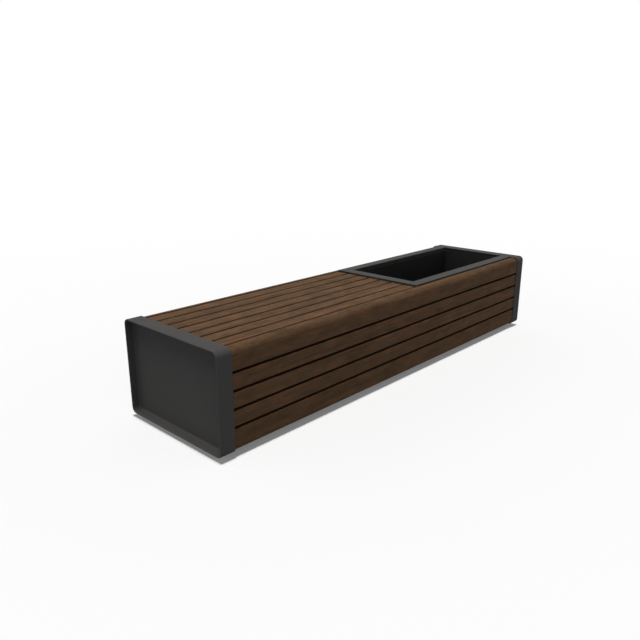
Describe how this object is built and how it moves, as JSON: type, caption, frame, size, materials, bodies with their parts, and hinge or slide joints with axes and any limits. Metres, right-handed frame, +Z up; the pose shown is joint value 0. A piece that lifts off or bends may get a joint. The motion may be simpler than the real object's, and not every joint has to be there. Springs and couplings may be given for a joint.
{
  "type": "bench with planter",
  "caption": "Long low street bench clad in dark timber slats between rounded metal end plates, with an open planter trough let into one end.",
  "frame": {"origin": "on the ground, under the middle of the bench's outline", "axes": "+X along the bench towards the planter end, -Y the front shown in the picture, +Z up"},
  "size_m": [2.42, 0.625, 0.4536],
  "materials": {
    "hardwood": "oiled dark brown hardwood, fine straight grain",
    "grey_coat": "satin dark grey powder coat",
    "black_coat": "matt black coat on structural steel",
    "bare_steel": "zinc plated, slightly dull",
    "foot_plastic": "matt black moulded plastic",
    "liner_plastic": "matt black moulded sheet",
    "pad_rubber": "matt black rubber"
  },
  "bodies": {
    "root": {"corner_slat_front": "hardwood", "corner_slat_back": "hardwood", "top_slat_1": "hardwood", "top_slat_2": "hardwood", "top_slat_3": "hardwood", "top_slat_4": "hardwood", "top_slat_5": "hardwood", "top_slat_6": "hardwood", "top_slat_7": "hardwood", "front_slat_1": "hardwood", "back_slat_1": "hardwood", "front_slat_2": "hardwood", "back_slat_2": "hardwood", "front_slat_3": "hardwood", "back_slat_3": "hardwood", "front_slat_4": "hardwood", "back_slat_4": "hardwood", "end_plate_left": "grey_coat", "end_plate_right": "grey_coat", "planter_rim": "grey_coat", "rim_end_angle": "grey_coat", "seat_frame_1": "black_coat", "seat_frame_2": "black_coat", "seat_frame_3": "black_coat", "seat_frame_4": "black_coat", "planter_frame_1": "black_coat", "planter_frame_2": "black_coat", "planter_frame_3": "black_coat", "base_beam_front": "black_coat", "base_beam_back": "black_coat", "seat_screws": "bare_steel", "front_screws": "bare_steel", "back_screws": "bare_steel", "beam_bolts": "bare_steel", "beam_nuts": "bare_steel", "foot_nuts": "bare_steel", "left_plate_nuts": "bare_steel", "right_plate_nuts": "bare_steel", "rim_studs": "bare_steel", "rim_nuts": "bare_steel", "liner_pads": "pad_rubber"},
    "liner": {"planter_liner": "liner_plastic"},
    "foot_1": {"foot_pad_1": "foot_plastic", "foot_stud_1": "bare_steel"},
    "foot_2": {"foot_pad_2": "foot_plastic", "foot_stud_2": "bare_steel"},
    "foot_3": {"foot_pad_3": "foot_plastic", "foot_stud_3": "bare_steel"},
    "foot_4": {"foot_pad_4": "foot_plastic", "foot_stud_4": "bare_steel"},
    "foot_5": {"foot_pad_5": "foot_plastic", "foot_stud_5": "bare_steel"},
    "foot_6": {"foot_pad_6": "foot_plastic", "foot_stud_6": "bare_steel"}
  },
  "joints": [
    {"name": "liner_lift", "type": "slide", "parent": "root", "child": "liner", "axis": [0, 0, 1], "range_m": [0, 0.34]},
    {"name": "foot_1_screw", "type": "slide", "parent": "root", "child": "foot_1", "axis": [0, 0, 1], "range_m": [-0.012, 0]},
    {"name": "foot_2_screw", "type": "slide", "parent": "root", "child": "foot_2", "axis": [0, 0, 1], "range_m": [-0.012, 0]},
    {"name": "foot_3_screw", "type": "slide", "parent": "root", "child": "foot_3", "axis": [0, 0, 1], "range_m": [-0.012, 0]},
    {"name": "foot_4_screw", "type": "slide", "parent": "root", "child": "foot_4", "axis": [0, 0, 1], "range_m": [-0.012, 0]},
    {"name": "foot_5_screw", "type": "slide", "parent": "root", "child": "foot_5", "axis": [0, 0, 1], "range_m": [-0.012, 0]},
    {"name": "foot_6_screw", "type": "slide", "parent": "root", "child": "foot_6", "axis": [0, 0, 1], "range_m": [-0.012, 0]}
  ]
}
